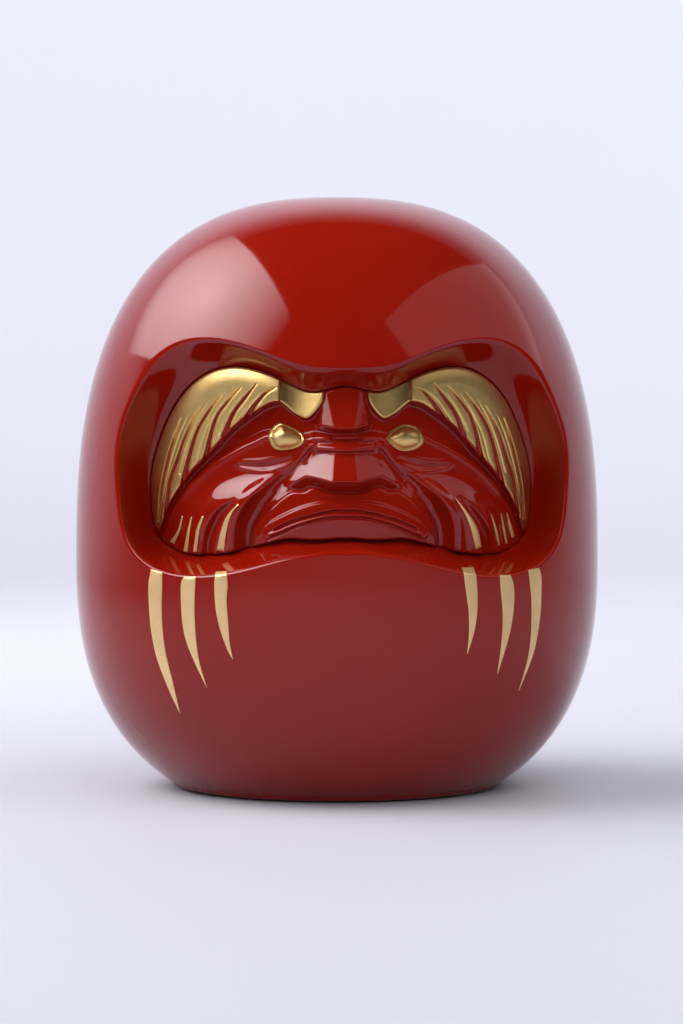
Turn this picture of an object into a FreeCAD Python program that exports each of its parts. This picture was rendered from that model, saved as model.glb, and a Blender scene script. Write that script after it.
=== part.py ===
"""Lacquered daruma doll: a hollow two-part body, a face insert in a recess, gilded relief.

Millimetres. +Z is up, the face looks along -Y, and the origin is the middle of the
underside, on the surface that the doll stands on. Left is the viewer's left (-X).
"""
import FreeCAD
import Part
import math
import os

Vector = FreeCAD.Vector

# Body: round in plan, a flattened egg in profile, on a flat base.
body_height = 120.0
widest_radius = 53.3
widest_level = 46.5
upper_power = 2.6
lower_power = 2.5
lower_reach = 53.0
wall = 3.5
upper_profile_points = 15
lower_profile_points = 8

# Base: the felt stands proud of the shell, in a shallow seat.
base_level = 0.4
base_edge_round = 0.8
felt_radius = 29.0
felt_thickness = 1.0
cover_radius = 26.4
cover_thickness = 1.8
opening_radius = 23.0
base_land = 1.5
ballast_radius = 22.0
ballast_height = 13.0
ballast_edge_round = 2.0
fit_gap = 0.1

# Seam between the half shells: a tongue on the back shell slides inside the front one.
tongue_wall = 1.6
tongue_length = 2.4
tongue_lowest = 8.0

# Face recess. Radii are taken about the face centre, from straight down to straight up.
face_level = 64.0
rim_radii = [14.0, 14.4, 16.9, 23.3, 37.3, 43.9, 44.1, 44.1, 43.1, 37.5, 26.4, 21.4, 20.5]
mask_radii = [11.9, 12.1, 12.9, 14.0, 15.5, 19.9, 30.6, 37.8, 38.2, 37.7,
              36.8, 36.0, 34.9, 32.5, 27.4, 20.9, 17.7, 17.4, 17.6]
face_front = -44.0
face_bend = 0.016
floor_depth = 2.0
bowl_power = 1.3
rim_overshoot = 12.0
farthest_overshoot = 0.5
mask_fit = 0.985
mask_outline_points = 36
glue_gap = 0.1

# Relief of the face: (x, z, half width, half height, height), mirrored where x is not 0.
face_mounds = [
    (0.0, 75.0, 4.6, 7.5, 2.6),
    (0.0, 64.8, 7.0, 4.2, 5.0),
    (8.3, 63.0, 3.2, 2.4, 2.2),
    (0.0, 58.0, 15.0, 1.6, 1.7),
    (0.0, 54.6, 14.0, 1.8, 2.2),
    (25.0, 62.0, 9.0, 8.0, 2.2),
    (11.3, 72.0, 6.0, 4.0, -1.6),
    (18.5, 57.0, 2.6, 7.0, -1.6),
]

# Eyebrow: its outer edge follows the mask, its serrated lower edge is a few points.
brow_turns = [166, 158, 150, 142, 134, 125, 115, 105, 95, 86, 78]
brow_margin = 0.96
brow_lower_edge = [(-34.2, 58.4), (-31.5, 63.2), (-27.0, 68.7), (-22.1, 73.6), (-17.1, 77.1),
                   (-12.8, 78.8), (-10.4, 76.4), (-7.8, 75.2), (-5.4, 76.6)]
brow_rise = 1.9
seat_depth = 1.2

# Eye: a bead a little wider than tall, half sunk in the mask.
eye_place = (11.3, 72.0)
eye_half_length = 3.6
eye_half_height = 2.6
eye_sink = 0.3

# Gold strokes: (x, z, width) down the middle line of each, from end to end.
stroke_rise = 0.18
stroke_sink = 0.25
cheek_strokes = {
    "left_1": [(-31.5, 56.2, 0.3), (-32.0, 53.8, 1.1), (-32.9, 51.6, 1.0)],
    "left_2": [(-29.6, 56.0, 0.3), (-30.2, 53.5, 1.1), (-30.8, 50.2, 1.0)],
    "left_3": [(-27.4, 56.2, 0.3), (-28.3, 54.0, 1.1), (-29.0, 50.0, 1.0)],
    "left_4": [(-20.6, 59.0, 0.3), (-22.5, 56.0, 1.0), (-23.6, 53.0, 1.5), (-24.0, 50.0, 1.6)],
    "right_1": [(32.5, 56.6, 0.3), (33.4, 53.9, 1.1), (34.0, 52.4, 1.0)],
    "right_2": [(31.2, 56.5, 0.3), (31.9, 53.6, 1.1), (32.5, 51.2, 1.0)],
    "right_3": [(29.0, 56.5, 0.3), (30.0, 53.6, 1.1), (30.8, 50.6, 1.0)],
    "right_4": [(21.3, 60.0, 0.3), (23.4, 57.0, 0.9), (25.0, 54.0, 1.5), (26.1, 50.6, 1.7)],
}
beard_strokes = {
    "left_1": [(-36.4, 45.2, 2.2), (-36.5, 39.0, 2.5), (-35.4, 29.5, 2.0), (-31.9, 18.4, 0.3)],
    "left_2": [(-29.9, 44.6, 2.3), (-30.2, 38.0, 2.5), (-28.9, 30.0, 1.5), (-26.6, 23.8, 0.3)],
    "left_3": [(-23.9, 45.2, 2.2), (-23.9, 40.0, 2.4), (-23.1, 34.0, 1.4), (-21.7, 29.5, 0.3)],
    "right_1": [(36.8, 45.2, 2.3), (37.3, 39.0, 2.1), (36.8, 31.0, 1.6), (34.1, 22.4, 0.3)],
    "right_2": [(30.8, 44.6, 2.3), (31.4, 39.5, 2.4), (31.0, 34.0, 1.7), (29.4, 26.2, 0.3)],
    "right_3": [(23.6, 45.8, 2.4), (24.1, 41.0, 2.2), (24.1, 35.5, 1.4), (23.2, 30.4, 0.3)],
}

# Surfaces are drawn through points on this grid, which reaches past the recess.
grid_half_width = 47.0
grid_low = 38.0
grid_high = 97.0
grid_columns = 67
grid_rows = 41
reach = 80.0


def egg_point(angle, shrink):
    """Point of the body's profile at an angle from straight up, in degrees."""
    above = angle <= 90
    power = upper_power if above else lower_power
    half = (body_height - widest_level if above else lower_reach) - shrink
    sine = math.sin(math.radians(angle))
    cosine = math.cos(math.radians(angle))
    share = (sine / (widest_radius - shrink)) ** power + (abs(cosine) / half) ** power
    distance = share ** (-1 / power)
    return Vector(distance * sine, 0, widest_level + distance * cosine)


def body_radius(level):
    """Outer radius of the body at a level."""
    above = level > widest_level
    power = upper_power if above else lower_power
    half = body_height - widest_level if above else lower_reach
    share = min(abs(level - widest_level) / half, 1)
    return widest_radius * (1 - share ** power) ** (1 / power)


def body_front(x, z):
    """Depth (y) of the body's front surface."""
    return -math.sqrt(max(body_radius(z) ** 2 - x * x, 0))


def egg_solid(shrink, lowest):
    """The body's form, smaller by shrink all round, cut flat at a level."""
    below = math.degrees(math.atan((widest_level - lowest) / (body_radius(lowest) - shrink)))
    points = [egg_point(90 * step / upper_profile_points, shrink) for step in range(upper_profile_points)]
    for step in range(lower_profile_points + 1):
        points.append(egg_point(90 + below * step / lower_profile_points, shrink))
    last_way = points[-1] - points[-2]
    profile = Part.BSplineCurve()
    profile.interpolate(Points=points, InitialTangent=Vector(1, 0, 0), FinalTangent=last_way)
    foot = profile.EndPoint
    bottom = Part.LineSegment(foot, Vector(0, 0, foot.z))
    axis = Part.LineSegment(Vector(0, 0, foot.z), points[0])
    face = Part.Face(Part.Wire([profile.toShape(), bottom.toShape(), axis.toShape()]))
    return face.revolve(Vector(0, 0, 0), Vector(0, 0, 1), 360)


def disc(radius, low, high):
    return Part.makeCylinder(radius, high - low, Vector(0, 0, low))


def outline_radius(radii, turn):
    """Radius of an outline at a turn (radians) from straight down, even left to right."""
    count = len(radii) - 1
    total = 0.0
    for order in range(count + 1):
        weight = 0.0
        for step, radius in enumerate(radii):
            end_share = 0.5 if step in (0, count) else 1.0
            weight += end_share * radius * math.cos(math.pi * order * step / count)
        end_share = 0.5 if order in (0, count) else 1.0
        total += end_share * weight * math.cos(order * turn)
    return 2 * total / count


def outline_point(radii, degrees, scale=1.0):
    """Point (x, z) of an outline on the viewer's left."""
    radius = scale * outline_radius(radii, math.radians(degrees))
    turn = math.radians(degrees)
    return (-radius * math.sin(turn), face_level - radius * math.cos(turn))


def face_base(x):
    return face_front + face_bend * x * x


def recess_depth(x, z):
    """Depth (y) of the recess: a curved floor, then a bowl wall that meets the body."""
    across = math.hypot(x, z - face_level)
    turn = math.atan2(abs(x), face_level - z)
    inner = outline_radius(mask_radii, turn)
    outer = outline_radius(rim_radii, turn)
    share = (across - inner) / (outer - inner)
    floor = face_base(x) + floor_depth
    body = body_front(x, z)
    if share <= 0:
        return floor
    if share < 1:
        return floor + (body - floor) * share ** bowl_power
    return body - rim_overshoot * min(share - 1, farthest_overshoot)


def face_depth(x, z):
    """Depth (y) of the carved face."""
    relief = 0.0
    for place_x, place_z, half_width, half_height, height in face_mounds:
        across = (abs(x) - place_x) / half_width
        along = (z - place_z) / half_height
        relief += height * math.exp(-across * across - along * along)
    return face_base(x) - relief


def brow_depth(x, z):
    return face_base(x) - brow_rise


def region_in_front(depth, offset):
    """Everything in front of a surface y = depth(x, z) + offset."""
    rows = []
    for column in range(grid_columns):
        x = grid_half_width * (2 * column / (grid_columns - 1) - 1)
        levels = [grid_low + (grid_high - grid_low) * row / (grid_rows - 1) for row in range(grid_rows)]
        rows.append([Vector(x, depth(x, z) + offset, z) for z in levels])
    surface = Part.BSplineSurface()
    surface.interpolate(rows)
    return surface.toShape().extrude(Vector(0, -reach, 0))


def closed_wire(points):
    """Closed wire through (x, z) points, joined by one smooth curve each way round."""
    curves = []
    for run in points:
        if len(run) == 2:
            curves.append(Part.LineSegment(Vector(run[0][0], 0, run[0][1]), Vector(run[1][0], 0, run[1][1])))
            continue
        curve = Part.BSplineCurve()
        curve.interpolate([Vector(x, 0, z) for x, z in run])
        curves.append(curve)
    return Part.Wire([curve.toShape() for curve in curves])


def prism(points):
    """Straight column along Y with an outline given as runs of (x, z) points."""
    face = Part.Face(closed_wire(points))
    face.translate(Vector(0, -reach, 0))
    return face.extrude(Vector(0, reach, 0))


def mirrored(points):
    return [(-x, z) for x, z in points]


def mask_prism():
    turns = [180 * step / mask_outline_points for step in range(mask_outline_points + 1)]
    left = [outline_point(mask_radii, turn, mask_fit) for turn in turns]
    return prism([left, mirrored(left)[::-1]])


def brow_prism(side):
    """Column with an eyebrow's outline; side is -1 on the left and 1 on the right."""
    outer = [outline_point(mask_radii, turn, brow_margin) for turn in brow_turns]
    lower = [outer[-1]] + brow_lower_edge + [outer[0]]
    if side > 0:
        outer = mirrored(outer)
        lower = mirrored(lower)
    return prism([outer, lower])


def stroke_prism(line):
    """Column with the outline of one brush stroke, drawn from its middle line."""
    one_edge = [(x - width / 2, z) for x, z, width in line]
    other_edge = [(x + width / 2, z) for x, z, width in reversed(line)]
    top = [other_edge[-1], one_edge[0]]
    tip = [one_edge[-1], other_edge[0]]
    return prism([one_edge, tip, other_edge, top])


def eye_bead(side):
    """Bead turned about its long axis, which lies along X."""
    x, z = eye_place
    middle = Vector(side * x, face_depth(x, z) + eye_sink, z)
    left = middle - Vector(eye_half_length, 0, 0)
    right = middle + Vector(eye_half_length, 0, 0)
    oval = Part.Ellipse(right, middle + Vector(0, 0, eye_half_height), middle)
    profile = Part.ArcOfEllipse(oval, 0, math.pi)
    face = Part.Face(Part.Wire([profile.toShape(), Part.LineSegment(left, right).toShape()]))
    return face.revolve(middle, Vector(1, 0, 0), 360)


def half_space(front, edge):
    """Box on one side of the plane y = edge, front or back."""
    size = 2 * reach
    return Part.makeBox(2 * size, size, size, Vector(-size, edge - size if front else edge, -1))


def tongue_zone(length, lowest):
    """Box round the seam in which the tongue runs, clear of the base."""
    return Part.makeBox(4 * reach, length + tongue_length, 2 * reach, Vector(-2 * reach, -length, lowest))


def outside_form():
    outside = egg_solid(0, base_level)
    foot = [edge for edge in outside.Edges if abs(edge.BoundBox.ZMax - base_level) < 0.01]
    return outside.makeFillet(base_edge_round, foot[:1])


def open_base(shell):
    """Cuts the felt's seat, the cover's seat and the opening into the base."""
    cover_top = felt_thickness + cover_thickness
    shell = shell.cut(disc(felt_radius + fit_gap, 0, felt_thickness))
    shell = shell.cut(disc(cover_radius + fit_gap, 0, cover_top))
    return shell.cut(disc(opening_radius, 0, cover_top + base_land + 1))


def front_shell():
    """Front half with the recess, a wall behind it and a slot for the back shell's tongue."""
    cavity = egg_solid(wall, felt_thickness + cover_thickness + base_land)
    cavity = cavity.cut(region_in_front(recess_depth, wall))
    shell = outside_form().common(half_space(True, -fit_gap))
    shell = shell.cut(region_in_front(recess_depth, 0)).cut(cavity)
    slot = egg_solid(wall - tongue_wall - fit_gap, base_level + 1)
    slot = slot.common(tongue_zone(tongue_length + fit_gap, tongue_lowest))
    return open_base(shell.cut(slot))


def back_shell():
    """Back half with the locating tongue that reaches into the front half."""
    tongue = egg_solid(wall - tongue_wall, base_level + 1)
    tongue = tongue.common(tongue_zone(tongue_length, tongue_lowest + fit_gap))
    shell = outside_form().common(half_space(False, 0)).fuse(tongue)
    shell = shell.cut(egg_solid(wall, felt_thickness + cover_thickness + base_land))
    return open_base(shell)


def only_solid(shape):
    """The single solid of a shape, or the largest where a sliver was left."""
    return max(shape.Solids, key=lambda solid: solid.Volume)


def save(node, shape):
    solid = only_solid(shape)
    if not solid.isValid() or not solid.isClosed():
        print("not sound:", node)
    solid.exportStep("parts/" + node + ".step")
    print(node, round(solid.Volume, 1))


def build():
    os.makedirs("parts", exist_ok=True)
    save("body_front_shell", front_shell())
    save("body_back_shell", back_shell())

    in_front_of_face = region_in_front(face_depth, 0)
    behind_seat = region_in_front(face_depth, seat_depth)
    mask = mask_prism().common(region_in_front(recess_depth, -glue_gap)).cut(in_front_of_face)

    in_front_of_brow = region_in_front(brow_depth, 0)
    for side, name in ((-1, "left"), (1, "right")):
        column = brow_prism(side)
        brow = column.common(behind_seat).cut(in_front_of_brow)
        mask = mask.cut(column.common(behind_seat))
        save("brow_" + name, brow)
        eye = eye_bead(side)
        mask = mask.cut(eye)
        save("eye_" + name, eye)

    sunk = region_in_front(face_depth, stroke_sink)
    raised = region_in_front(face_depth, -stroke_rise)
    for name, line in cheek_strokes.items():
        stroke = stroke_prism(line).common(sunk).cut(raised)
        mask = mask.cut(stroke)
        save("cheek_stroke_" + name, stroke)
    save("face_mask", mask)

    skin = egg_solid(-stroke_rise, base_level)
    core = egg_solid(0, base_level)
    for name, line in beard_strokes.items():
        save("beard_stroke_" + name, stroke_prism(line).common(skin).cut(core))

    save("base_felt", disc(felt_radius, 0, felt_thickness))
    cover_top = felt_thickness + cover_thickness
    save("base_cover", disc(cover_radius, felt_thickness, cover_top))
    ballast = disc(ballast_radius, cover_top, cover_top + ballast_height)
    upper_edge = [edge for edge in ballast.Edges if edge.BoundBox.ZMin > cover_top + 1]
    save("ballast_weight", ballast.makeFillet(ballast_edge_round, upper_edge[:1]))


build()
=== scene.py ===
import math
import bmesh
import bpy
import numpy as np
from mathutils import Matrix, Vector


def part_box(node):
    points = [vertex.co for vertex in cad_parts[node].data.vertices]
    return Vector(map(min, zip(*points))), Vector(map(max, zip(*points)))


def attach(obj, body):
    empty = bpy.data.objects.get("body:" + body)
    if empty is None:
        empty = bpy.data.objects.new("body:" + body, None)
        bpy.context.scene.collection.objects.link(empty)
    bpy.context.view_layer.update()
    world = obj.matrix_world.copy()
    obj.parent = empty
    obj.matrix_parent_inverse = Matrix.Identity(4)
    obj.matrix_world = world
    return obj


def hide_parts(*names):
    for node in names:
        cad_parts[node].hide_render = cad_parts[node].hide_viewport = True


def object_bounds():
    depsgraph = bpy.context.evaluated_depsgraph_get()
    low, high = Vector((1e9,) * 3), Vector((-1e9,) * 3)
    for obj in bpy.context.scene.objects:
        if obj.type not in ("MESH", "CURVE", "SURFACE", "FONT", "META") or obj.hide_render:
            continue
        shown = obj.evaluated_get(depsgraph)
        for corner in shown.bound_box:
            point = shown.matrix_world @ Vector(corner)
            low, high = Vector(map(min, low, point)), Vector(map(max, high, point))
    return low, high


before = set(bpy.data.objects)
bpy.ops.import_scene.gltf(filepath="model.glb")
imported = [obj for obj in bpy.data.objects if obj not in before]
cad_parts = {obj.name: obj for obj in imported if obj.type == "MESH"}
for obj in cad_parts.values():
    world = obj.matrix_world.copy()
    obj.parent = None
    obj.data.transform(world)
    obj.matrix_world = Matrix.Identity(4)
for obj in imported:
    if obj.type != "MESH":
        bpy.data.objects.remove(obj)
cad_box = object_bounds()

# ---------------------------------------------------------------- studio
# A pale seamless sheet that runs back and curves up, a large softbox on the left, a weaker
# panel on the right and a lamp for the sheet. A long lens looks at the face from the front,
# a little above its middle.


class Signal:
    """A value or colour in a finish; sums and products of it add the maths nodes."""

    def __init__(self, tree, socket):
        self.tree = tree
        self.socket = socket

    def maths(self, operation, *values):
        return make_node(self.tree, "ShaderNodeMath", {"operation": operation}, dict(enumerate(values)))

    def __add__(self, other):
        return self.maths("ADD", self, other)

    def __sub__(self, other):
        return self.maths("SUBTRACT", self, other)

    def __mul__(self, other):
        return self.maths("MULTIPLY", self, other)

    def __rsub__(self, other):
        return self.maths("SUBTRACT", other, self)

    __radd__ = __add__
    __rmul__ = __mul__


def make_node(tree, kind, settings, sockets, output=0):
    """Adds one shader node: settings first, then the values or links of its sockets."""
    node = tree.nodes.new(kind)
    for name, value in settings.items():
        if name != "stops":
            setattr(node, name, value)
            continue
        for number, (place, colour) in enumerate(value):
            if number > 1:
                node.color_ramp.elements.new(place)
            node.color_ramp.elements[number].position = place
            node.color_ramp.elements[number].color = colour
    for name, value in sockets.items():
        if isinstance(value, Signal):
            tree.links.new(value.socket, node.inputs[name])
        else:
            node.inputs[name].default_value = value
    return Signal(tree, node.outputs[output])


def new_finish(name, **constants):
    """A material with a Principled surface; constants are set on the surface's own sockets."""
    finish = bpy.data.materials.new(name)
    finish.use_nodes = True
    tree = finish.node_tree
    surface = tree.nodes["Principled BSDF"]
    for socket, value in constants.items():
        surface.inputs[socket.replace("_", " ")].default_value = value
    place = make_node(tree, "ShaderNodeTexCoord", {}, {}, output="Object")
    return finish, tree, surface, place


def feed(tree, surface, socket, signal):
    tree.links.new(signal.socket, surface.inputs[socket])


def noise(tree, place, scale, detail=2.0, rough=0.5, output="Fac"):
    return make_node(tree, "ShaderNodeTexNoise", {}, {"Vector": place, "Scale": scale, "Detail": detail,
                     "Roughness": rough}, output)


def blend_colours(tree, factor, first, second):
    node = make_node(tree, "ShaderNodeMix", {"data_type": "RGBA"}, {"Factor": factor, 6: first,
                                                                    7: second}, 2)
    return node


def bump(tree, height, strength, distance):
    return make_node(tree, "ShaderNodeBump", {}, {"Height": height, "Strength": strength,
                                                  "Distance": distance})


def new_piece(name, mesh, finish, smooth=True):
    """Puts a finished mesh in the scene with its material."""
    piece = bpy.data.objects.new(name, mesh)
    bpy.context.scene.collection.objects.link(piece)
    mesh.materials.append(finish)
    for face in mesh.polygons:
        face.use_smooth = smooth
    return piece


sheet_half_width = 4.5
sheet_front = -2.4
sheet_back = 0.9
sheet_curve = 0.5
sheet_height = 2.0
sheet_form = bmesh.new()
corners = [sheet_form.verts.new((side * sheet_half_width, sheet_front, 0)) for side in (-1, 1)]
edge = sheet_form.edges.new(corners)
run = bmesh.ops.extrude_edge_only(sheet_form, edges=[edge])["geom"]
moved = [part for part in run if isinstance(part, bmesh.types.BMVert)]
bmesh.ops.translate(sheet_form, verts=moved, vec=(0, sheet_back - sheet_front, 0))
edge = [part for part in run if isinstance(part, bmesh.types.BMEdge)]
bmesh.ops.spin(sheet_form, geom=moved + edge, cent=(0, sheet_back, sheet_curve), axis=(1, 0, 0),
               angle=math.pi / 2, steps=24)
top = [edge for edge in sheet_form.edges
       if all(abs(v.co.y - sheet_back - sheet_curve) < 1e-4 for v in edge.verts)]
run = bmesh.ops.extrude_edge_only(sheet_form, edges=top)["geom"]
moved = [part for part in run if isinstance(part, bmesh.types.BMVert)]
bmesh.ops.translate(sheet_form, verts=moved, vec=(0, 0, sheet_height))
sheet_mesh = bpy.data.meshes.new("paper_sweep")
bmesh.ops.recalc_face_normals(sheet_form, faces=sheet_form.faces)
sheet_form.to_mesh(sheet_mesh)
paper, tree, surface, place = new_finish("sweep_paper", Roughness=0.6, Specular_IOR_Level=0.25)
feed(tree, surface, "Base Color", blend_colours(tree, noise(tree, place, 3.0), (0.43, 0.433, 0.487, 1),
                                                (0.447, 0.45, 0.504, 1)))
sweep = new_piece("paper_sweep", sheet_mesh, paper)


def soft_light(name, place, aim, size, power, colour, roll=0.0, in_gloss=True,
               spread=180):
    """A rectangular softbox at a place, facing a point; a fill lamp stays out of the gloss."""
    lamp = bpy.data.lights.new(name, "AREA")
    lamp.shape = "RECTANGLE"
    lamp.size, lamp.size_y = size
    lamp.energy = power
    lamp.color = colour
    lamp.spread = math.radians(spread)
    light = bpy.data.objects.new(name, lamp)
    turn = (Vector(aim) - Vector(place)).to_track_quat("-Z", "Y")
    light.matrix_world = Matrix.Translation(place) @ turn.to_matrix().to_4x4() @ Matrix.Rotation(roll,
                                                                                                 4, "Z")
    light.visible_glossy = in_gloss
    bpy.context.scene.collection.objects.link(light)


soft_light("left_softbox", (-0.41, 0.02, 0.47), (0, 0, 0.06), (1.05, 0.44), 2.6, (1.0, 0.98, 1.0), 0.07,
           spread=82)
soft_light("right_panel", (0.50, -0.10, 0.50), (0, 0, 0.06), (0.95, 0.40), 0.72, (1.0, 0.97, 1.0), -0.1)
soft_light("sheet_lamp", (0, 0.5, 1.2), (0, 1.5, 0.75), (7.0, 0.8), 90.0, (0.98, 0.98, 1.0), 0.0, False)
soft_light("front_fill", (0, -1.8, 0.9), (0, 0, 0.05), (2.4, 1.6), 25.0, (1.0, 1.0, 1.0), 0.0, False)
soft_light("top_fill", (0.6, -0.4, 1.6), (0, 0, 0), (1.6, 1.6), 15.0, (1.0, 1.0, 1.0), 0.0, False)

world = bpy.data.worlds.new("dim_room")
world.use_nodes = True
world.node_tree.nodes["Background"].inputs["Color"].default_value = (0.9, 0.9, 1.0, 1)
world.node_tree.nodes["Background"].inputs["Strength"].default_value = 0.03
bpy.context.scene.world = world
bpy.context.scene.view_settings.view_transform = "Standard"

long_lens = bpy.data.cameras.new("long_lens")
long_lens.lens = 120.2
long_lens.sensor_width = 36.0
long_lens.clip_end = 20.0
camera = bpy.data.objects.new("camera", long_lens)
camera.location = (-0.02593, -0.69909, 0.08033)
camera.rotation_euler = Vector((0.03836, 0.99865, -0.0349)).to_track_quat("-Z", "Y").to_euler()
bpy.context.scene.collection.objects.link(camera)
bpy.context.scene.camera = camera

# ---------------------------------------------------------------- body
# The doll's body: two moulded resin halves, glued, filled and lacquered over, so it shows as
# one seamless skin. It is an egg, round in plan and flat underneath, with a recess for the
# face whose bowl-like wall meets the skin at a softly rounded rim. All lengths are in mm.

MM = 0.001
body_height = (cad_box[1][2] - cad_box[0][2]) / MM
widest_radius = 53.3
widest_level = 46.5
upper_power = 2.6
lower_power = 2.5
lower_reach = 53.0
wall = 3.5
base_level = 0.4
base_round = 0.8

face_level = 64.0
rim_radii = [14.0, 14.4, 16.9, 23.3, 37.3, 43.9, 44.1, 44.1, 43.1, 37.5, 26.4, 21.4, 20.5]
mask_radii = [11.9, 12.1, 12.9, 14.0, 15.5, 19.9, 30.6, 37.8, 38.2, 37.7,
              36.8, 36.0, 34.9, 32.5, 27.4, 20.9, 17.7, 17.4, 17.6]
face_front = -44.0
face_bend = 0.016
floor_depth = 2.0
bowl_power = 1.3
mask_gap = 0.25
seat_lift = 1.9


def egg_value(x, y, z, shrink=0.0):
    """Below 1 inside the egg, above 1 outside."""
    above = z > widest_level
    power = np.where(above, upper_power, lower_power)
    half = np.where(above, body_height - widest_level, lower_reach) - shrink
    around = np.hypot(x, y) / (widest_radius - shrink)
    return around ** power + (np.abs(z - widest_level) / half) ** power


def egg_front(x, z, shrink=0.0):
    """Depth (y) of the egg's front surface."""
    above = z > widest_level
    power = np.where(above, upper_power, lower_power)
    half = np.where(above, body_height - widest_level, lower_reach) - shrink
    share = np.minimum(np.abs(z - widest_level) / half, 1)
    radius = (widest_radius - shrink) * (1 - share ** power) ** (1 / power)
    return -np.sqrt(np.maximum(radius ** 2 - x ** 2, 0.01))


def outline_radius(radii, turn):
    """Radius of an outline about the face centre at a turn from straight down."""
    count = len(radii) - 1
    ends = np.where(np.isin(np.arange(count + 1), (0, count)), 0.5, 1.0)
    steps = np.arange(count + 1)
    waves = np.cos(np.pi * np.outer(steps, steps) / count) @ (np.array(radii) * ends)
    total = np.zeros_like(turn)
    for order in range(count + 1):
        total += ends[order] * waves[order] * np.cos(order * turn)
    return 2 * total / count


def smooth_max(first, second, reach):
    """The larger of two surfaces, with their meeting line rounded over a reach."""
    nearness = np.maximum(reach - np.abs(first - second), 0) / reach
    return np.maximum(first, second) + reach * nearness ** 2 / 4


def recess_share(x, z):
    """How far out a place is: 0 at the mask's edge, 1 at the rim; and the distance in mm."""
    across = np.hypot(x, z - face_level)
    turn = np.arctan2(np.abs(x), face_level - z)
    inner = outline_radius(mask_radii, turn)
    outer = outline_radius(rim_radii, turn)
    return (across - inner) / (outer - inner), across - inner


def floor_depth_at(x):
    return face_front + face_bend * x ** 2 + floor_depth


def ease(value):
    value = np.clip(value, 0, 1)
    return value * value * (3 - 2 * value)


def skin_depth(x, z, shrink=0.0):
    """Depth (y) of the lacquered skin in front: the egg with the recess let into it."""
    share, beyond_mask = recess_share(x, z)
    egg = egg_front(x, z)
    middle = np.exp(-(x / 17) ** 2)
    lift = seat_lift + middle * np.where(z < face_level, 2.1, 0.9)
    floor = floor_depth_at(x) - lift * ease(beyond_mask / mask_gap + 1)
    bowl = floor + (egg - floor) * np.clip(share, 0, 1) ** bowl_power
    bowl = np.where(share > 1, egg - 10.0 * (share - 1), bowl)
    reach = 1.1 + 0.8 * middle
    return smooth_max(egg_front(x, z, shrink), bowl + shrink, reach)


def skin_points(segments, inner_rings, wall_rings, lip_rings, back_rings, shrink=0.0):
    """Rings of points from the middle of the face outwards, round the sides to the back."""
    turn = 2 * np.pi * np.arange(segments) / segments
    mask = outline_radius(mask_radii, turn)
    rim = outline_radius(rim_radii, turn)
    down = -np.cos(turn)
    side = -np.sin(turn)
    rings = []
    reaches = [(mask - mask_gap) * (step + 1) / inner_rings for step in range(inner_rings)] + [mask]
    for step in range(wall_rings):
        share = math.sin(math.pi / 2 * (step + 1) / wall_rings)
        reaches.append(mask + (rim - mask) * (share * 0.94))
    for step in range(lip_rings):
        reaches.append(mask + (rim - mask) * 0.94 + ((rim - mask) * 0.06 + 2.2) * (step + 1) / lip_rings)
    for reach in reaches:
        x = reach * side
        z = face_level + reach * down
        rings.append(np.stack([x, skin_depth(x, z, shrink), z], 1))
    last = rings[-1]
    start = np.arctan2(np.hypot(last[:, 0], last[:, 2] - face_level), -last[:, 1])
    for step in range(back_rings):
        share = ((step + 1) / (back_rings + 1)) ** 1.35
        lean = start + (math.pi - start) * share
        way = np.stack([np.sin(lean) * side, -np.cos(lean), np.sin(lean) * down], 1)
        near = np.zeros(segments)
        far = np.full(segments, 120.0)
        for _ in range(40):
            middle = (near + far) / 2
            point = way * middle[:, None]
            inside = egg_value(point[:, 0], point[:, 1], point[:, 2] + face_level, shrink) < 1
            near = np.where(inside, middle, near)
            far = np.where(inside, far, middle)
        rings.append(way * near[:, None] + np.array([0, 0, face_level]))
    front_pole = np.array([0, skin_depth(np.zeros(1), np.full(1, face_level), shrink)[0], face_level])
    radius_at_face = -egg_front(np.zeros(1), np.full(1, face_level), shrink)[0]
    back_pole = np.array([0, radius_at_face, face_level])
    return front_pole, rings, back_pole


def ring_ball(segments, front_pole, rings, back_pole):
    """A ball whose rings run from front to back, each vertex carried to its place."""
    form = bmesh.new()
    bmesh.ops.create_uvsphere(form, u_segments=segments, v_segments=len(rings) + 1, radius=1.0)
    for vertex in form.verts:
        ring = round(math.acos(max(-1, min(1, vertex.co.z))) / math.pi * (len(rings) + 1))
        if ring == 0:
            vertex.co = front_pole * MM
        elif ring == len(rings) + 1:
            vertex.co = back_pole * MM
        else:
            column = round(math.atan2(vertex.co.y, vertex.co.x) / (2 * math.pi) * segments) % segments
            vertex.co = rings[ring - 1][column] * MM
    bmesh.ops.recalc_face_normals(form, faces=form.faces)
    return form


def open_edges(form):
    return [edge for edge in form.edges if edge.is_boundary]


def cut_below(form, level):
    geometry = form.verts[:] + form.edges[:] + form.faces[:]
    bmesh.ops.bisect_plane(form, geom=geometry, dist=1e-7, plane_co=(0, 0, level * MM),
                           plane_no=(0, 0, -1), clear_outer=True)


def carry_ring(form, edges, radius, level):
    """Extrudes a ring of edges and carries the new one to a radius and a level."""
    run = bmesh.ops.extrude_edge_only(form, edges=edges)["geom"]
    for vertex in [part for part in run if isinstance(part, bmesh.types.BMVert)]:
        scale = radius * MM / math.hypot(vertex.co.x, vertex.co.y)
        vertex.co = (vertex.co.x * scale, vertex.co.y * scale, level * MM)
    return [part for part in run if isinstance(part, bmesh.types.BMEdge)]


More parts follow.
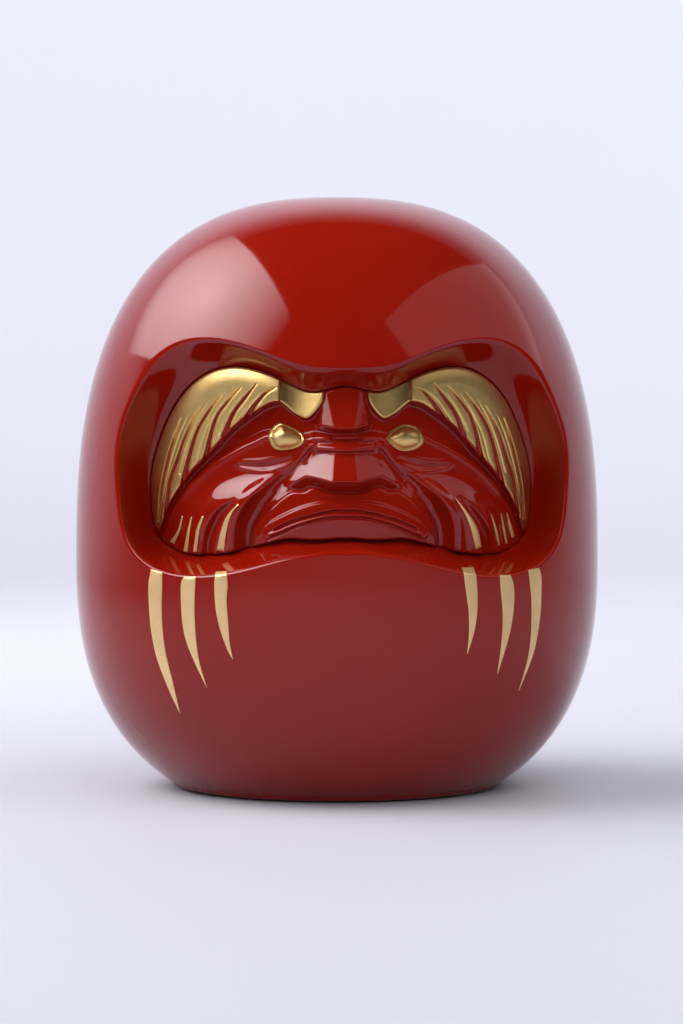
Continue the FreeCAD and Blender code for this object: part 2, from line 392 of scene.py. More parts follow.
skin_segments = 480
skin = ring_ball(skin_segments, *skin_points(skin_segments, 8, 34, 18, 96))
cut_below(skin, base_level + base_round)
foot = open_edges(skin)
foot_radius = np.mean([math.hypot(v.co.x, v.co.y) for edge in foot for v in edge.verts]) / MM
for step in range(1, 5):
    turn = math.pi / 2 * step / 4
    foot = carry_ring(skin, foot, foot_radius - base_round * (1 - math.cos(turn)) - 0.35 * step / 4,
                      base_level + base_round * (1 - math.sin(turn)))
felt_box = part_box("base_felt")
cover_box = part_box("base_cover")
felt_radius = felt_box[1][0] / MM
cover_radius = cover_box[1][0] / MM
felt_top = felt_box[1][2] / MM
cover_top = cover_box[1][2] / MM
opening_radius = 23.0
cavity_level = cover_top + 1.5
for radius, level in ((felt_radius + 0.1, base_level), (felt_radius + 0.1, felt_top),
                      (cover_radius + 0.1, felt_top), (cover_radius + 0.1, cover_top),
                      (opening_radius, cover_top), (opening_radius, cavity_level)):
    foot = carry_ring(skin, foot, radius, level)

inner_segments = 96
inside = ring_ball(inner_segments, *skin_points(inner_segments, 6, 8, 4, 30, wall))
cut_below(inside, cavity_level)
bmesh.ops.reverse_faces(inside, faces=inside.faces)
inside_mesh = bpy.data.meshes.new("inside")
inside.to_mesh(inside_mesh)
inside.free()
skin.from_mesh(inside_mesh)
bmesh.ops.bridge_loops(skin, edges=open_edges(skin))
bpy.data.meshes.remove(inside_mesh)
skin_mesh = bpy.data.meshes.new("lacquered_body")
skin.to_mesh(skin_mesh)
skin.free()


def red_lacquer(name):
    """Deep red under a thick clear gloss: faint clouds in the colour, hardly any texture."""
    finish, tree, surface, place = new_finish(name, Specular_IOR_Level=0.39)
    clouds = noise(tree, place, 60.0, 3.0)
    feed(tree, surface, "Base Color", blend_colours(tree, clouds, (0.186, 0.004, 0.001, 1),
                                                    (0.22, 0.0065, 0.0015, 1)))
    feed(tree, surface, "Roughness", 0.05 + 0.035 * noise(tree, place, 240.0))
    peel = noise(tree, place, 420.0, 1.0)
    feed(tree, surface, "Normal", bump(tree, peel, 0.25, 0.00002))
    return finish


lacquer = red_lacquer("red_lacquer")
body = new_piece("lacquered_body", skin_mesh, lacquer)
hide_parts("body_front_shell", "body_back_shell")
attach(body, "root")

# ---------------------------------------------------------------- face mask
# The scowling face is an insert of its own, moulded and lacquered like the body and glued to
# the floor of the recess. Its front is carved all over: a bridge, two rolls and a nose down the
# middle, a muzzle with the mouth, folded cheeks, and the raised forms under the eyebrows.

mask_columns = 400
mask_rows = 210
mask_end = 0.985
edge_round = 0.5


def smooth_line(points, steps=8):
    """Points along a smooth curve through a few; further columns are carried along too."""
    given = np.array(points, float)
    padded = np.vstack([2 * given[0] - given[1], given, 2 * given[-1] - given[-2]])
    share = np.linspace(0, 1, steps, endpoint=False)[:, None]
    runs = []
    for one, two, three, four in zip(padded, padded[1:], padded[2:], padded[3:]):
        runs.append(0.5 * (2 * two + (three - one) * share
                           + (2 * one - 5 * two + 4 * three - four) * share ** 2
                           + (3 * two - one - 3 * three + four) * share ** 3))
    return np.vstack(runs + [given[-1:]])


def nearest(x, z, line):
    """Distance from a line, which side of it (1 on its left hand) and how far along it."""
    way = line[1:, :2] - line[:-1, :2]
    from_x = x.reshape(-1, 1) - line[:-1, 0]
    from_z = z.reshape(-1, 1) - line[:-1, 1]
    share = np.clip((from_x * way[:, 0] + from_z * way[:, 1]) / (way ** 2).sum(1), 0, 1)
    far = np.hypot(from_x - share * way[:, 0], from_z - share * way[:, 1])
    chosen = far.argmin(1)
    row = np.arange(len(chosen))
    side = np.sign(way[chosen, 0] * from_z[row, chosen] - way[chosen, 1] * from_x[row, chosen])
    along = chosen + share[row, chosen]
    return far[row, chosen].reshape(x.shape), side.reshape(x.shape), along.reshape(x.shape)


def ridge(x, z, points):
    """Soft ridge along (x, z, half width, height) points; a negative height cuts a groove."""
    line = smooth_line(points)
    far, _, along = nearest(x, z, line)
    width = np.interp(along, np.arange(len(line)), line[:, 2])
    height = np.interp(along, np.arange(len(line)), line[:, 3])
    return height * np.clip(1 - (far / width) ** 2, 0, 1) ** 2


def inside(x, z, points):
    """Signed distance from a line, positive on its left hand."""
    far, side, _ = nearest(x, z, smooth_line(points))
    return far * side


def mound(x, z, middle, half):
    return np.exp(-((x - middle[0]) / half[0]) ** 2 - ((z - middle[1]) / half[1]) ** 2)


def mask_outline(turn):
    """Point (x, z) of the mask's edge on the right at a turn from straight down."""
    radius = outline_radius(mask_radii, turn) - mask_gap
    return np.stack([radius * np.sin(turn), face_level - radius * np.cos(turn)], -1)


eye_crease = [(3.6, 71.3), (4.9, 71.5), (7.9, 71.3), (11.3, 71.9), (14.8, 72.0), (17.1, 71.0), (20.8, 69.2),
              (24.6, 66.8), (27.9, 64.2), (30.7, 61.1), (33.1, 57.4), (34.6, 53.8), (35.4, 50.5)]
lip_line = [(14.6, 48.0), (15.4, 51.8), (16.2, 53.4), (15.3, 55.1), (11.8, 57.1), (8.6, 58.5), (5.8, 59.3),
            (2.8, 59.6), (0.0, 59.1), (-2.8, 59.6)]
muzzle_line = [(17.9, 47.5), (17.7, 51.5), (16.9, 55.4), (14.3, 58.4), (10.8, 61.2), (8.1, 61.5),
               (6.8, 62.2),
               (5.2, 62.1), (3.3, 61.3), (-2.0, 61.2)]
brow_foot = [(3.6, 82.6), (3.5, 80.4), (3.9, 78.4), (5.4, 76.0), (7.4, 74.6), (9.6, 75.4), (11.5, 76.9),
             (13.0, 77.8), (14.8, 77.4), (17.0, 76.0), (19.3, 74.4), (21.6, 72.4), (24.3, 69.3),
             (26.6, 66.9),
             (28.7, 64.7), (30.9, 61.9), (32.7, 59.1), (34.0, 56.5), (35.0, 53.6), (35.6, 50.0)]
brow_grooves = [
    [(13.5, 81.3, 0.25, 0.3), (15.3, 80.2, 0.45, 0.6), (17.1, 78.2, 0.6, 0.8), (18.9, 75.6, 0.8, 0.9)],
    [(17.1, 82.0, 0.2, 0.4), (19.3, 79.2, 0.5, 0.8), (21.4, 76.4, 0.65, 0.9), (23.2, 72.2, 0.9, 0.9)],
    [(20.0, 81.4, 0.2, 0.3), (23.0, 78.0, 0.45, 0.7), (25.0, 74.8, 0.6, 0.8), (26.8, 67.6, 0.8, 0.9)],
    [(23.6, 80.2, 0.2, 0.3), (26.1, 76.8, 0.45, 0.7), (28.4, 72.9, 0.55, 0.8), (29.9, 68.1, 0.7, 0.9),
     (31.2, 62.6, 0.8, 0.9)],
    [(27.7, 77.6, 0.2, 0.3), (29.6, 74.3, 0.4, 0.6), (31.2, 70.6, 0.5, 0.7), (32.3, 67.1, 0.55, 0.8),
     (33.7, 63.1, 0.6, 0.8), (34.7, 56.4, 0.6, 0.8)],
    [(31.6, 75.2, 0.2, 0.3), (32.8, 71.9, 0.4, 0.6), (33.9, 68.2, 0.5, 0.7), (35.3, 62.0, 0.5, 0.7),
     (36.1, 55.2, 0.4, 0.6)],
    [(16.2, 80.2, 0.2, 0.1), (18.2, 78.2, 0.3, 0.2), (20.2, 75.2, 0.35, 0.25)],
    [(19.4, 80.2, 0.2, 0.1), (21.8, 77.0, 0.3, 0.2), (24.0, 72.6, 0.35, 0.25)],
    [(22.4, 80.0, 0.2, 0.1), (24.8, 76.4, 0.3, 0.2), (27.0, 72.0, 0.35, 0.25), (28.4, 67.0, 0.35, 0.25)],
    [(26.0, 78.8, 0.2, 0.1), (28.2, 75.0, 0.3, 0.2), (30.0, 70.6, 0.35, 0.25), (31.8, 64.6, 0.35, 0.25)],
    [(30.2, 75.6, 0.2, 0.1), (31.8, 72.0, 0.3, 0.2), (33.1, 68.2, 0.3, 0.25), (34.5, 63.0, 0.3, 0.25),
     (35.3, 58.5, 0.3, 0.2)],
]


def brow_cut(x, z):
    """Depth of the grooves between the eyebrow's strands."""
    deepest = np.zeros_like(x)
    for groove in brow_grooves:
        deepest = np.maximum(deepest, ridge(np.abs(x), z, groove))
    return deepest


def brow_height(x, z, edge):
    """The eyebrow's form: a scooped inner end, then a fan of strands with a crest along its rim."""
    a = np.abs(x)
    scoop = 2.2 - 2.2 * np.clip(1 - ((a - 9.3) / 5.2) ** 2, 0, 1) - 0.22 * (z - 78)
    fan = 1.3 + 1.0 * (1 - (1 - np.clip(edge / 3.2, 0, 1)) ** 2)
    top = scoop + (fan - scoop) * ease((a + 0.08 * (z - 80) - 12.4) / 0.5)
    above_foot = inside(a, z, brow_foot)
    shoulder = 0.4 * (1 - np.clip((above_foot - 0.7) / 0.6, 0, 1)) ** 2
    wall_drop = 3.4 * np.maximum(0.75 - above_foot, 0)
    return top - shoulder - wall_drop - brow_cut(x, z) * ease((above_foot + 0.2) / 0.5)


def cheek_height(x, z):
    """Ground of the face: cheeks, the gutter above the eye crease and the folds below."""
    a = np.abs(x)
    below_crease = -inside(a, z, eye_crease)
    swell_start = np.interp(a, [12, 16, 23, 28, 33], [6.5, 5.2, 3.0, 1.8, 1.0])
    swell = 2.7 * ease((below_crease - swell_start) / 4.6) - 0.17 * np.maximum(58.5 - z, 0)
    ground = 0.7 + 1.1 * np.exp(-(a / 5.5) ** 2) + swell * ease((a - 9) / 7) * ease((39 - a) / 9)
    ground = ground - 1.5 * ease(-below_crease / 1.5 + 0.1)
    ground = ground + ridge(a, z, [(px, pz - 0.4, 0.6, 0.06) for px, pz in eye_crease])
    for fold in (
            [(21.3, 66.6, 0.3, 0.05), (19.3, 67.1, 0.6, 0.2), (16.3, 67.2, 0.7, 0.25),
             (13.1, 67.9, 0.5, 0.1)],
            [(21.3, 66.5, 0.3, 0.05), (19.3, 65.6, 0.6, 0.22), (16.3, 65.2, 0.65, 0.3),
             (13.4, 65.5, 0.6, 0.25),
             (10.9, 66.4, 0.5, 0.15), (8.9, 67.8, 0.4, 0.05)],
            [(20.2, 66.3, 0.4, -0.15), (16.3, 66.15, 0.7, -0.3), (13.4, 66.6, 0.7, -0.25),
             (10.5, 67.6, 0.5, -0.1)],
            [(5.6, 70.2, 0.5, -0.4), (6.9, 68.9, 0.7, -0.7), (8.9, 66.2, 0.8, -0.8),
             (10.9, 63.6, 0.8, -0.8)],
            [(14.0, 64.0, 1.6, 0.3), (18.3, 60.7, 1.9, 0.8), (20.9, 57.2, 1.9, 0.9), (22.0, 53.5, 1.7, 0.8),
             (22.3, 48.5, 1.6, 0.7)],
            [(11.2, 64.2, 1.2, -0.5), (12.6, 62.8, 2.2, -1.4), (14.8, 60.2, 3.0, -2.1),
             (17.0, 57.2, 3.2, -2.5),
             (18.1, 54.0, 3.2, -2.6), (18.3, 47.5, 3.0, -2.2)]):
        ground = ground + ridge(a, z, fold)
    left_folds = [
        [(21.4, 59.4, 0.7, -0.3), (23.9, 57.0, 1.2, -1.0), (25.3, 54.3, 1.4, -1.3), (26.1, 51.8, 1.4, -1.3),
         (26.5, 48.0, 1.4, -1.2)],
        [(28.4, 57.4, 0.4, -0.1), (29.4, 54.5, 0.7, -0.45), (30.1, 49.0, 0.8, -0.5)],
        [(30.4, 57.2, 0.4, -0.1), (31.3, 54.0, 0.7, -0.45), (32.3, 49.5, 0.8, -0.5)],
        [(32.0, 57.4, 0.4, -0.1), (33.0, 54.0, 0.7, -0.4), (34.4, 50.0, 0.8, -0.4)]]
    right_folds = [
        [(22.4, 60.0, 0.6, -0.3), (25.2, 56.8, 1.1, -1.0), (27.0, 54.0, 1.4, -1.3), (28.0, 51.5, 1.4, -1.3),
         (28.5, 48.0, 1.4, -1.2)],
        [(28.2, 57.2, 0.4, -0.1), (29.2, 54.0, 0.7, -0.4), (29.9, 49.2, 0.8, -0.5)],
        [(30.2, 57.2, 0.4, -0.1), (31.1, 54.0, 0.7, -0.4), (31.9, 49.5, 0.8, -0.5)],
        [(31.8, 57.4, 0.4, -0.1), (32.8, 54.0, 0.7, -0.4), (33.7, 50.4, 0.8, -0.4)]]
    for side, folds in ((-1, left_folds), (1, right_folds)):
        for fold in folds:
            ground = ground + np.where(x * side > 0, ridge(a, z, fold), 0)
    return ground


def muzzle_height(x, z):
    """The swelling round the mouth, with the lips, the slit between them and the chin."""
    a = np.abs(x)
    mouth = np.interp(a, [0, 4, 5.8, 9.1, 12.8, 15.0], [57.0, 56.7, 56.3, 55.2, 53.6, 52.7])
    top = 2.5 - 0.004 * a ** 2 - 0.11 * np.maximum(mouth - z, 0)
    top = top + 0.9 * np.exp(-(np.maximum(z - mouth, 0) / 4.5) ** 2)
    in_from_edge = inside(a, z, muzzle_line)
    edge = 0.7 * (1 - np.clip(in_from_edge / 0.6, 0, 1)) ** 2 + 2.6 * np.maximum(-in_from_edge, 0)
    carved = top - edge + 0.6 * ease(inside(a, z, lip_line) / 0.5 + 0.3)
    for form in (
            [(0, 57.6, 0.45, -0.6), (2.6, 57.6, 0.45, -0.7), (9.1, 56.0, 0.45, -0.7),
             (13.6, 54.1, 0.4, -0.6)],
            [(0, 57.0, 0.55, 0.3), (4.0, 56.8, 0.55, 0.3), (9.1, 55.4, 0.55, 0.3), (12.8, 53.8, 0.5, 0.3),
             (14.7, 53.1, 0.4, 0.25)],
            [(0, 56.5, 0.35, -0.25), (4.0, 56.2, 0.35, -0.3), (9.1, 54.75, 0.35, -0.3),
             (12.8, 53.05, 0.35, -0.3),
             (14.8, 52.1, 0.35, -0.3)]):
        carved = carved + ridge(a, z, form)
    return carved


def nose_height(x, z):
    """A wedge that rises downwards, its flanks running out to the wings, over a steep underside."""
    a = np.abs(x + 0.3)
    front = np.interp(z, [63.4, 68.4, 70.0], [6.4, 3.1, 1.4])
    flat = np.interp(z, [63.4, 68.4], [2.4, 1.9])
    beyond = np.maximum(a - flat, 0)
    flank = front - 0.56 * beyond - 0.06 * np.maximum(beyond - 4.5, 0) ** 2
    tip = np.interp(a, [0, 2.7, 4.8, 7.3, 9.1, 10.5], [63.4, 63.3, 63.9, 64.4, 63.5, 63.0])
    under = np.interp(a, [0, 3.3, 5.2, 6.8, 8.1, 10.8], [61.3, 61.2, 62.1, 62.3, 61.5, 61.3])
    foot = np.interp(a, [0, 5, 10], [2.2, 1.6, 0.2])
    at_tip = np.interp(tip, [63.4, 68.4], [6.4, 3.1]) - 0.56 * beyond
    below = foot + (at_tip - foot) * (z - under) / (tip - under)
    return -smooth_max(-flank, -below, 0.5)


def bridge_height(x, z):
    """Block between the eyebrows: a front that leans back, bevelled sides, steep walls."""
    a = np.abs(x + 0.35)
    half = np.interp(z, [73.2, 81.0], [4.7, 3.7])
    facet = np.interp(z, [73.3, 79.1, 81.0], [1.9, 3.1, 3.4])
    front = 4.0 - 0.44 * np.maximum(z - 73.5, 0) - 0.55 * np.maximum(a - facet, 0)
    walls = 3.2 * np.maximum(a - half, 0) + 2.4 * np.maximum(73.5 + 0.03 * a ** 2 - z, 0)
    return front - smooth_max(walls, np.zeros_like(walls), 0.5)


def roll_height(x, z):
    rolls = ridge(np.abs(x), z, [(0, 71.75, 1.35, 1.3), (4.5, 71.9, 1.3, 0.9), (7.2, 72.3, 0.9, 0.2)])
    rolls = rolls + ridge(np.abs(x), z, [(0, 69.4, 1.35, 1.5), (3.0, 69.6, 1.35, 1.3),
                                         (6.8, 69.9, 1.0, 0.3)])
    return rolls + 0.5 * mound(x, z, (0, 70.5), (5.0, 3.0))


def face_height(x, z):
    """How far the carved face stands in front of its curved ground."""
    a = np.abs(x)
    rim = smooth_line(mask_outline(np.linspace(0, math.pi, 60)), 3)
    edge, side, _ = nearest(a, z, rim)
    edge = np.where(side > 0, edge, 0)
    height = cheek_height(x, z) + roll_height(x, z)
    height = smooth_max(height, bridge_height(x, z), 0.5)
    height = smooth_max(height, muzzle_height(x, z), 0.3)
    height = smooth_max(height, nose_height(x, z), 0.4)
    height = smooth_max(height, brow_height(x, z, edge), 0.4)
    turned = np.maximum(edge_round - edge, 0)
    return height - edge_round + np.sqrt(edge_round ** 2 - turned ** 2)


def face_depth(x, z):
    return face_front + face_bend * x ** 2 - face_height(x, z)


def mask_back(x):
    return floor_depth_at(x) - 0.1


mask_turns = np.linspace(0, math.pi, 721)
rim = mask_outline(mask_turns)
widest = rim[:, 0].argmax()
end = rim[widest, 0] * mask_end
column_turns = np.linspace(-math.pi / 2, math.pi / 2, mask_columns + 1)
columns = end * np.sin(column_turns * 0.9) / math.sin(0.45 * math.pi)
low = np.interp(np.abs(columns), rim[:widest + 1, 0], rim[:widest + 1, 1])
high = np.interp(np.abs(columns), rim[widest:, 0][::-1], rim[widest:, 1][::-1])
rows = np.linspace(0, 1, mask_rows + 1)
rows = 0.6 * rows + 0.4 * (0.5 - 0.5 * np.cos(math.pi * rows))
mask_x = np.repeat(columns[:, None], mask_rows + 1, 1)
mask_z = low[:, None] + (high - low)[:, None] * rows
mask_y = face_depth(mask_x, mask_z)

mask_form = bmesh.new()
bmesh.ops.create_grid(mask_form, x_segments=mask_columns, y_segments=mask_rows, size=1.0)
for vertex in mask_form.verts:
    column = round((vertex.co.x + 1) / 2 * mask_columns)
    row = round((vertex.co.y + 1) / 2 * mask_rows)
    vertex.co = Vector((mask_x[column, row], mask_y[column, row], mask_z[column, row])) * MM
run = bmesh.ops.extrude_edge_only(mask_form, edges=open_edges(mask_form))["geom"]
for vertex in [part for part in run if isinstance(part, bmesh.types.BMVert)]:
    vertex.co.y = mask_back(vertex.co.x / MM) * MM
run = bmesh.ops.extrude_edge_only(mask_form, edges=open_edges(mask_form))["geom"]
spine = [part for part in run if isinstance(part, bmesh.types.BMVert)]
for vertex in spine:
    middle = max(-end + 3, min(end - 3, vertex.co.x / MM))
    vertex.co = Vector((middle, mask_back(middle), face_level - 1)) * MM
bmesh.ops.remove_doubles(mask_form, verts=spine, dist=1e-7)
bmesh.ops.recalc_face_normals(mask_form, faces=mask_form.faces)
mask_mesh = bpy.data.meshes.new("face_insert")
mask_form.to_mesh(mask_mesh)
mask_form.free()
mask = new_piece("face_insert", mask_mesh, red_lacquer("mask_lacquer"))
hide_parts("face_mask")
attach(mask, "root")

# ---------------------------------------------------------------- eyebrows
# Each eyebrow is a gilded skin over the mask's raised form: a scooped inner end, then a fan of
# strands parted by grooves in whose bottoms the red lacquer shows. The gilding is matt and
# grainy.

brow_columns = [(166.1, 4.25, 79.9), (160.9, 4.9, 77.9), (156.2, 7.2, 75.5), (151.2, 9.5, 76.3),
                (147.9, 11.3, 77.8),
                (146.2, 12.7, 78.7), (141.7, 14.8, 78.3), (138.0, 17.1, 76.9), (133.7, 18.9, 76.1),
                (129.2, 21.8, 73.7), (123.5, 23.3, 72.2), (116.9, 26.2, 69.1), (109.9, 27.6, 67.6),
                (102.7, 30.4, 64.5), (95.7, 31.8, 62.3), (88.9, 33.2, 60.2), (85.0, 34.4, 57.4),
                (79.1, 35.2, 54.9), (74.6, 35.65, 53.4)]
brow_long = 260
brow_across = 90
brow_margin = 1.0
gilt_rise = 0.14
gilt_in_grooves = 0.24
brow_thickness = 0.6


def gilding(name, pale, deep, roughness, metal):
    """Matt gold paint: fine grain, cloudy tone, and a rougher, darker coat here and there."""
    finish, tree, surface, place = new_finish(name, Metallic=metal, Specular_IOR_Level=0.5)
    clouds = noise(tree, place, 160.0, 4.0, 0.6)
    grain = noise(tree, place, 2200.0, 3.0, 0.6)
    tone = make_node(tree, "ShaderNodeValToRGB", {"stops": [(0.3, deep), (0.7, pale)]},
                     {"Fac": 0.75 * clouds + 0.25 * grain})
    feed(tree, surface, "Base Color", tone)
    feed(tree, surface, "Roughness", roughness - 0.06 + 0.14 * grain)
    feed(tree, surface, "Normal", bump(tree, grain + 0.6 * clouds, 0.6, 0.00008))
    return finish


def sheet_grid(long, across, place):
    """Open grid whose vertices are carried to place(share along, share across), in mm."""
    form = bmesh.new()
    bmesh.ops.create_grid(form, x_segments=long, y_segments=across, size=1.0)
    shares = np.array([(vertex.co.x, vertex.co.y) for vertex in form.verts]) / 2 + 0.5
    points = place(shares[:, 0], shares[:, 1]) * MM
    for vertex, point in zip(form.verts, points):
        vertex.co = point
    return form


def closed_piece(form, name, thickness):
    """Thickens a grid towards the back by a thickness and returns the mesh."""
    front = form.faces[:]
    run = bmesh.ops.extrude_face_region(form, geom=front)["geom"]
    back = [part for part in run if isinstance(part, bmesh.types.BMVert)]
    bmesh.ops.translate(form, verts=back, vec=(0, thickness * MM, 0))
    bmesh.ops.recalc_face_normals(form, faces=form.faces)
    mesh = bpy.data.meshes.new(name)
    form.to_mesh(mesh)
    form.free()
    return mesh


def brow_place(side):
    """Maps shares along and across the eyebrow on one side to points over the mask."""
    inner_edge = smooth_line(brow_columns, 6)

    def place(along, across):
        step = along * (len(inner_edge) - 1)
        turn = np.interp(step, np.arange(len(inner_edge)), inner_edge[:, 0])
        low_x = np.interp(step, np.arange(len(inner_edge)), inner_edge[:, 1])
        low_z = np.interp(step, np.arange(len(inner_edge)), inner_edge[:, 2])
        outer = mask_outline(np.radians(turn))
        outer_x = outer[:, 0] * brow_margin
        outer_z = face_level + (outer[:, 1] - face_level) * brow_margin
        x = side * (outer_x + (low_x - outer_x) * across)
        z = outer_z + (low_z - outer_z) * across
        near_edge = np.minimum(np.minimum(across, 1 - across) * 7.0, np.minimum(along, 1 - along) * 34.0)
        lift = gilt_rise * np.clip(near_edge / 0.5, 0, 1) ** 0.5 - gilt_in_grooves * brow_cut(x, z)
        return np.stack([x, face_depth(x, z) - lift, z], 1)

    return place


leaf_gold = gilding("leaf_gold", (0.90, 0.65, 0.27, 1), (0.70, 0.46, 0.15, 1), 0.42, 1.0)
for side, name in ((-1, "left"), (1, "right")):
    form = sheet_grid(brow_long, brow_across, brow_place(side))
    brow = new_piece("eyebrow_" + name, closed_piece(form, "eyebrow_" + name, brow_thickness), leaf_gold)
    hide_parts("brow_" + name)
    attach(brow, "root")

# ---------------------------------------------------------------- eyes
# Each eye is a gilded bead with a narrow rim round it, teardrop-shaped towards the nose, set
# in the fold below the eyebrow.

eye_outlines = {
    "left": ((-11.4, 71.8), [(-14.8, 71.6), (-14.3, 73.3), (-12.7, 74.6), (-10.9, 74.1), (-9.0, 73.1),
                             (-7.9, 72.1),
                             (-8.1, 70.7), (-9.5, 69.7), (-12.3, 69.2), (-13.9, 69.8), (-14.8, 71.6)]),
    "right": ((11.5, 71.6), [(7.8, 71.7), (8.6, 72.8), (10.5, 74.1), (12.4, 74.3), (14.3, 73.5),
                             (15.2, 71.6),
                             (14.8, 70.2), (12.9, 69.2), (10.5, 69.2), (8.6, 70.5), (7.8, 71.7)]),
}
eye_segments = 96
eye_front_rings = 36
eye_back_rings = 4
bead_height = 1.8
bead_share = 0.82
rim_height = 0.4
eye_sink = 0.7
for name, ((middle_x, middle_z), outline) in eye_outlines.items():
    lid = smooth_line(outline)[:-1]
    lid_turn = np.arctan2(lid[:, 1] - middle_z, lid[:, 0] - middle_x)
    order = np.argsort(lid_turn)
    turn = 2 * np.pi * np.arange(eye_segments) / eye_segments
    turn = np.where(turn > np.pi, turn - 2 * np.pi, turn)
    reach = np.interp(turn, lid_turn[order], np.hypot(lid[:, 0] - middle_x, lid[:, 1] - middle_z)[order],
                      period=2 * np.pi)
    rings = []
    ground = face_depth(np.array([middle_x]), np.array([middle_z]))[0]
    for step in range(1, eye_front_rings + 1):
        share = step / eye_front_rings
        bead = bead_height * math.sqrt(max(1 - (share / bead_share) ** 2, 0))
        lip = rim_height * max(1 - ((share - 0.9) / 0.1) ** 2, 0) ** 0.5
        x = middle_x + reach * share * np.cos(turn)
        z = middle_z + reach * share * np.sin(turn)
        low = np.maximum(face_depth(x, z) - 0.1, ground - 1.3)
        rings.append(np.stack([x, low * share ** 2 + ground * (1 - share ** 2) - max(bead, lip), z], 1))
    for step in range(1, eye_back_rings + 1):
        share = 1 - step / (eye_back_rings + 1)
        sunk = rings[eye_front_rings - 1].copy()
        sunk[:, 0] = middle_x + (sunk[:, 0] - middle_x) * share
        sunk[:, 2] = middle_z + (sunk[:, 2] - middle_z) * share
        sunk[:, 1] += eye_sink
        rings.append(sunk)
    front_pole = np.array([middle_x, ground - bead_height, middle_z])
    back_pole = np.array([middle_x, ground + eye_sink, middle_z])
    form = ring_ball(eye_segments, front_pole, rings, back_pole)
    eye_mesh = bpy.data.meshes.new("eye_bead_" + name)
    form.to_mesh(eye_mesh)
    form.free()
    eye = new_piece("eye_bead_" + name, eye_mesh, leaf_gold)
    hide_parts("eye_" + name)
    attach(eye, "root")

# ---------------------------------------------------------------- cheek and beard strokes
# Tapering strokes of thick gold paint. Four cross each cheek at the bottom of the mask, in
# its folds; three hang below the recess on each side of the body, like a beard. Each is given
# by its left and right edges, from the top down.

cheek_edges = {
    "left_1": ([(-31.5, 56.2), (-32.3, 53.4), (-33.9, 50.9)], [(-31.3, 56.1), (-31.8, 53.4),
                                                               (-33.0, 50.6)]),
    "left_2": ([(-29.7, 56.1), (-30.4, 53.4), (-31.2, 49.3)], [(-29.5, 56.0), (-29.9, 53.2),
                                                               (-30.4, 49.1)]),
    "left_3": ([(-27.5, 56.4), (-28.6, 53.8), (-29.3, 49.3)], [(-27.2, 56.3), (-28.0, 53.6),
                                                               (-28.6, 49.2)]),
    "left_4": ([(-20.7, 58.9), (-22.8, 56.4), (-23.9, 53.4), (-24.7, 49.8)],
               [(-20.4, 58.8), (-21.8, 57.0), (-22.8, 53.6), (-23.3, 49.6)]),
    "right_1": ([(32.4, 56.7), (32.9, 53.7), (33.6, 51.6)], [(32.6, 56.6), (33.6, 53.9), (34.2, 51.7)]),
    "right_2": ([(31.1, 56.7), (31.6, 53.5), (32.2, 50.5)], [(31.3, 56.6), (32.1, 53.5), (32.7, 50.6)]),
    "right_3": ([(28.9, 56.6), (29.7, 53.6), (30.5, 50.3)], [(29.1, 56.5), (30.2, 53.7), (31.0, 50.3)]),
    "right_4": ([(21.2, 60.2), (23.3, 56.9), (24.6, 53.9), (25.7, 49.8)],
                [(21.4, 60.1), (24.0, 57.0), (26.1, 53.9), (26.9, 50.2)]),
}
beard_edges = {
    "left_1": ([(-37.4, 46.2), (-37.9, 43.1), (-37.8, 38.8), (-37.4, 34.2), (-36.5, 29.5), (-35.0, 25.2),
                (-33.4, 21.3), (-31.9, 18.2)],
               [(-35.2, 45.7), (-35.2, 43.0), (-35.3, 38.9), (-35.1, 34.3), (-34.4, 29.4), (-33.3, 24.9),
                (-32.5, 21.3), (-31.8, 18.1)]),
    "left_2": ([(-31.0, 45.0), (-31.6, 43.2), (-31.4, 36.9), (-30.6, 32.6), (-29.0, 28.6), (-26.7, 23.7)],
               [(-28.7, 45.2), (-28.9, 41.4), (-28.9, 37.1), (-28.6, 32.7), (-28.0, 28.6), (-26.6, 23.6)]),
    "left_3": ([(-24.9, 46.1), (-25.2, 43.7), (-24.9, 38.8), (-23.9, 34.5), (-22.6, 31.0), (-21.7, 29.4)],
               [(-22.8, 46.3), (-22.6, 43.7), (-22.8, 40.8), (-22.5, 36.3), (-22.2, 32.5), (-21.6, 29.4)]),
    "right_1": ([(35.6, 46.0), (36.0, 42.9), (36.3, 39.5), (36.3, 34.9), (36.1, 31.5), (35.5, 27.9),
                 (34.0, 22.4)],
                [(37.9, 46.3), (38.4, 44.6), (38.4, 41.4), (38.3, 37.8), (37.8, 33.8), (36.8, 29.2),
                 (34.1, 22.3)]),
    "right_2": ([(29.7, 45.3), (29.8, 43.2), (30.2, 39.1), (30.3, 36.3), (30.1, 32.3), (29.4, 26.2)],
                [(31.9, 45.2), (32.5, 43.5), (32.7, 41.1), (32.4, 37.2), (31.6, 33.0), (29.5, 26.0)]),
    "right_3": ([(22.3, 46.8), (22.6, 44.4), (23.0, 41.5), (23.4, 38.6), (23.5, 34.6), (23.2, 30.4)],
                [(24.7, 46.7), (25.0, 44.4), (25.2, 41.4), (25.1, 37.7), (24.5, 34.2), (23.3, 30.3)]),
}
stroke_long = 120
stroke_across = 16
paint_rise = 0.2
paint_thickness = 0.35
paint_gold = gilding("paint_gold", (0.92, 0.67, 0.34, 1), (0.79, 0.53, 0.23, 1), 0.45, 0.75)


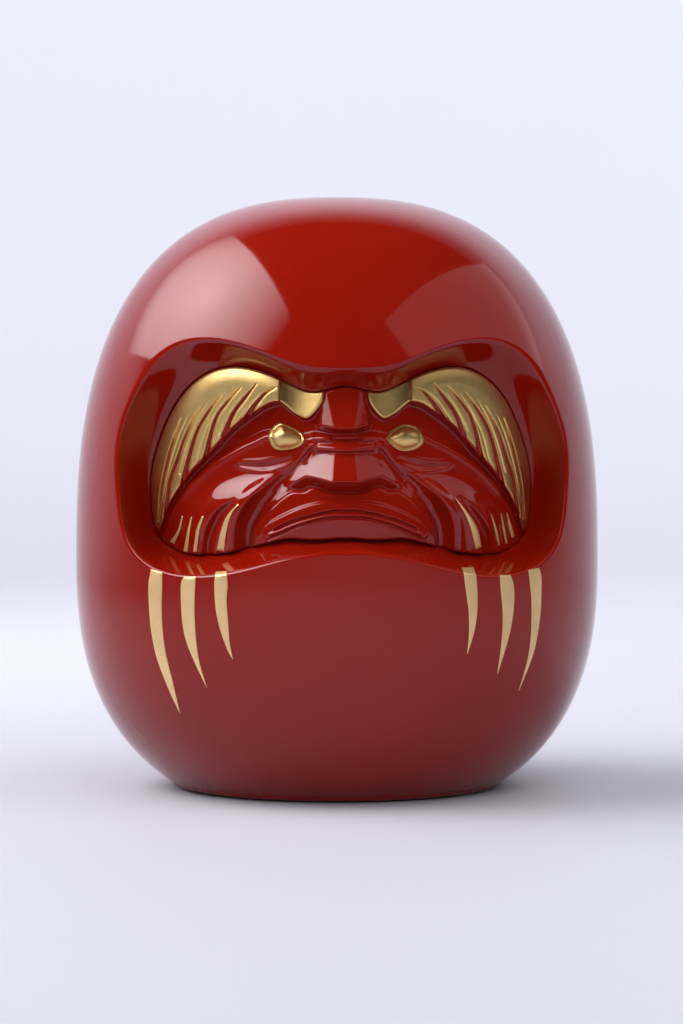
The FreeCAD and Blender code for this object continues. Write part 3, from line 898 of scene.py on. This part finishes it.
def stroke_place(edges, depth):
    """Maps shares along and across a stroke to points on a surface, heaped up a little."""
    left, right = [smooth_line(edge) for edge in edges]

    def place(along, across):
        ends = []
        for edge in (left, right):
            step = along * (len(edge) - 1)
            ends.append([np.interp(step, np.arange(len(edge)), edge[:, column]) for column in (0, 1)])
        x = ends[0][0] + (ends[1][0] - ends[0][0]) * across
        z = ends[0][1] + (ends[1][1] - ends[0][1]) * across
        rounded = np.sqrt(np.clip(4 * across * (1 - across), 0, 1))
        heap = rounded * np.clip(np.minimum(along, 1 - along) * 20, 0, 1)
        return np.stack([x, depth(x, z) - 0.03 - paint_rise * heap ** 0.5, z], 1)

    return place


for kind, strokes, depth in (("cheek", cheek_edges, face_depth), ("beard", beard_edges, skin_depth)):
    for name, edges in strokes.items():
        label = kind + "_paint_" + name
        form = sheet_grid(stroke_long, stroke_across, stroke_place(edges, depth))
        stroke = new_piece(label, closed_piece(form, label, paint_thickness), paint_gold)
        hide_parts(kind + "_stroke_" + name)
        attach(stroke, "root")

# ---------------------------------------------------------------- underside
# A felt pad fills the seat in the base, over a press-fitted board that closes the opening.
# Inside, a fired-clay weight sits on the board and keeps the doll upright.

felt, tree, surface, place = new_finish("felt", Specular_IOR_Level=0.1, Sheen_Weight=0.4)
fibres = noise(tree, place, 1800.0, 6.0, 0.7)
feed(tree, surface, "Base Color", blend_colours(tree, fibres, (0.035, 0.008, 0.008, 1),
                                                (0.10, 0.02, 0.018, 1)))
feed(tree, surface, "Roughness", 0.85 + 0.12 * fibres)
feed(tree, surface, "Normal", bump(tree, fibres, 0.8, 0.0003))

board, tree, surface, place = new_finish("pressed_board")
flecks = noise(tree, place, 900.0, 5.0, 0.65)
feed(tree, surface, "Base Color", blend_colours(tree, flecks, (0.16, 0.10, 0.06, 1), (0.30, 0.21, 0.13, 1)))
feed(tree, surface, "Roughness", 0.7 + 0.15 * flecks)
feed(tree, surface, "Normal", bump(tree, flecks, 0.5, 0.0001))

clay, tree, surface, place = new_finish("fired_clay", Specular_IOR_Level=0.2)
grit = noise(tree, place, 1200.0, 6.0, 0.7)
firing = noise(tree, place, 90.0, 2.0)
feed(tree, surface, "Base Color", blend_colours(tree, 0.5 * grit + 0.5 * firing, (0.32, 0.12, 0.06, 1),
                                                (0.55, 0.26, 0.15, 1)))
feed(tree, surface, "Roughness", 0.8 + 0.15 * grit)
feed(tree, surface, "Normal", bump(tree, grit, 0.7, 0.00015))

for node, finish in (("base_felt", felt), ("base_cover", board), ("ballast_weight", clay)):
    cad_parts[node].data.materials.clear()
    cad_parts[node].data.materials.append(finish)
